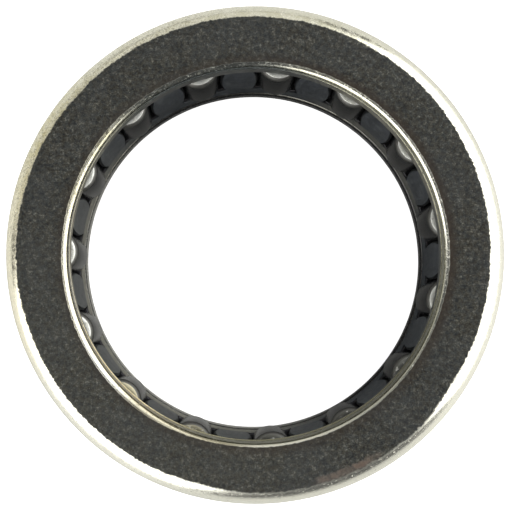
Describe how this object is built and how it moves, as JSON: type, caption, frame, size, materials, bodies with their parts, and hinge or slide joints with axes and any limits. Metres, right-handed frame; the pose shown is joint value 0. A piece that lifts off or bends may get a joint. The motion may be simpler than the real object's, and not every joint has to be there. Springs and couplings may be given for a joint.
{
  "type": "needle roller bearing",
  "caption": "Thin-walled drawn-cup needle roller bearing: a steel cup with lips turned in at both ends, holding a cage of needle rollers that run on a shaft.",
  "frame": {"origin": "on the bearing's axis, in the plane of its lower end face", "axes": "+Z along the bearing's axis, towards the end face that the picture shows; +X to that view's right"},
  "size_m": [0.0174, 0.0174, 0.0079],
  "materials": {
    "cup_steel": "dark grained end faces, worn bright over the outer corners, satin outside",
    "cage_steel": "dark satin",
    "roller_steel": "ground and polished, with frosted ends"
  },
  "bodies": {
    "outer_cup": {"outer_cup": "cup_steel"},
    "roller_cage": {"roller_cage": "cage_steel"},
    "needle_roller_01": {"needle_roller_01": "roller_steel"},
    "needle_roller_02": {"needle_roller_02": "roller_steel"},
    "needle_roller_03": {"needle_roller_03": "roller_steel"},
    "needle_roller_04": {"needle_roller_04": "roller_steel"},
    "needle_roller_05": {"needle_roller_05": "roller_steel"},
    "needle_roller_06": {"needle_roller_06": "roller_steel"},
    "needle_roller_07": {"needle_roller_07": "roller_steel"},
    "needle_roller_08": {"needle_roller_08": "roller_steel"},
    "needle_roller_09": {"needle_roller_09": "roller_steel"},
    "needle_roller_10": {"needle_roller_10": "roller_steel"},
    "needle_roller_11": {"needle_roller_11": "roller_steel"},
    "needle_roller_12": {"needle_roller_12": "roller_steel"},
    "needle_roller_13": {"needle_roller_13": "roller_steel"},
    "needle_roller_14": {"needle_roller_14": "roller_steel"},
    "needle_roller_15": {"needle_roller_15": "roller_steel"}
  },
  "joints": [
    {"name": "cage_spin", "type": "hinge", "parent": "outer_cup", "child": "roller_cage", "pos_m": [0, 0, 0.00397], "axis": [0, 0, 1], "continuous": true},
    {"name": "roller_01_spin", "type": "hinge", "parent": "roller_cage", "child": "needle_roller_01", "pos_m": [0.00701, 0.00136, 0.00397], "axis": [0, 0, 1], "continuous": true},
    {"name": "roller_02_spin", "type": "hinge", "parent": "roller_cage", "child": "needle_roller_02", "pos_m": [0.00585, 0.0041, 0.00397], "axis": [0, 0, 1], "continuous": true},
    {"name": "roller_03_spin", "type": "hinge", "parent": "roller_cage", "child": "needle_roller_03", "pos_m": [0.00368, 0.00612, 0.00397], "axis": [0, 0, 1], "continuous": true},
    {"name": "roller_04_spin", "type": "hinge", "parent": "roller_cage", "child": "needle_roller_04", "pos_m": [0.00087, 0.00709, 0.00397], "axis": [0, 0, 1], "continuous": true},
    {"name": "roller_05_spin", "type": "hinge", "parent": "roller_cage", "child": "needle_roller_05", "pos_m": [-0.00209, 0.00683, 0.00397], "axis": [0, 0, 1], "continuous": true},
    {"name": "roller_06_spin", "type": "hinge", "parent": "roller_cage", "child": "needle_roller_06", "pos_m": [-0.00469, 0.00539, 0.00397], "axis": [0, 0, 1], "continuous": true},
    {"name": "roller_07_spin", "type": "hinge", "parent": "roller_cage", "child": "needle_roller_07", "pos_m": [-0.00647, 0.00302, 0.00397], "axis": [0, 0, 1], "continuous": true},
    {"name": "roller_08_spin", "type": "hinge", "parent": "roller_cage", "child": "needle_roller_08", "pos_m": [-0.00714, 0.00012, 0.00397], "axis": [0, 0, 1], "continuous": true},
    {"name": "roller_09_spin", "type": "hinge", "parent": "roller_cage", "child": "needle_roller_09", "pos_m": [-0.00658, -0.00279, 0.00397], "axis": [0, 0, 1], "continuous": true},
    {"name": "roller_10_spin", "type": "hinge", "parent": "roller_cage", "child": "needle_roller_10", "pos_m": [-0.00487, -0.00522, 0.00397], "axis": [0, 0, 1], "continuous": true},
    {"name": "roller_11_spin", "type": "hinge", "parent": "roller_cage", "child": "needle_roller_11", "pos_m": [-0.00233, -0.00675, 0.00397], "axis": [0, 0, 1], "continuous": true},
    {"name": "roller_12_spin", "type": "hinge", "parent": "roller_cage", "child": "needle_roller_12", "pos_m": [0.00062, -0.00712, 0.00397], "axis": [0, 0, 1], "continuous": true},
    {"name": "roller_13_spin", "type": "hinge", "parent": "roller_cage", "child": "needle_roller_13", "pos_m": [0.00346, -0.00625, 0.00397], "axis": [0, 0, 1], "continuous": true},
    {"name": "roller_14_spin", "type": "hinge", "parent": "roller_cage", "child": "needle_roller_14", "pos_m": [0.00571, -0.0043, 0.00397], "axis": [0, 0, 1], "continuous": true},
    {"name": "roller_15_spin", "type": "hinge", "parent": "roller_cage", "child": "needle_roller_15", "pos_m": [0.00696, -0.00161, 0.00397], "axis": [0, 0, 1], "continuous": true}
  ],
  "couplings": [
    {"joint": "roller_01_spin", "follows": "cage_spin", "ratio": -10},
    {"joint": "roller_02_spin", "follows": "cage_spin", "ratio": -10},
    {"joint": "roller_03_spin", "follows": "cage_spin", "ratio": -10},
    {"joint": "roller_04_spin", "follows": "cage_spin", "ratio": -10},
    {"joint": "roller_05_spin", "follows": "cage_spin", "ratio": -10},
    {"joint": "roller_06_spin", "follows": "cage_spin", "ratio": -10},
    {"joint": "roller_07_spin", "follows": "cage_spin", "ratio": -10},
    {"joint": "roller_08_spin", "follows": "cage_spin", "ratio": -10},
    {"joint": "roller_09_spin", "follows": "cage_spin", "ratio": -10},
    {"joint": "roller_10_spin", "follows": "cage_spin", "ratio": -10},
    {"joint": "roller_11_spin", "follows": "cage_spin", "ratio": -10},
    {"joint": "roller_12_spin", "follows": "cage_spin", "ratio": -10},
    {"joint": "roller_13_spin", "follows": "cage_spin", "ratio": -10},
    {"joint": "roller_14_spin", "follows": "cage_spin", "ratio": -10},
    {"joint": "roller_15_spin", "follows": "cage_spin", "ratio": -10}
  ]
}
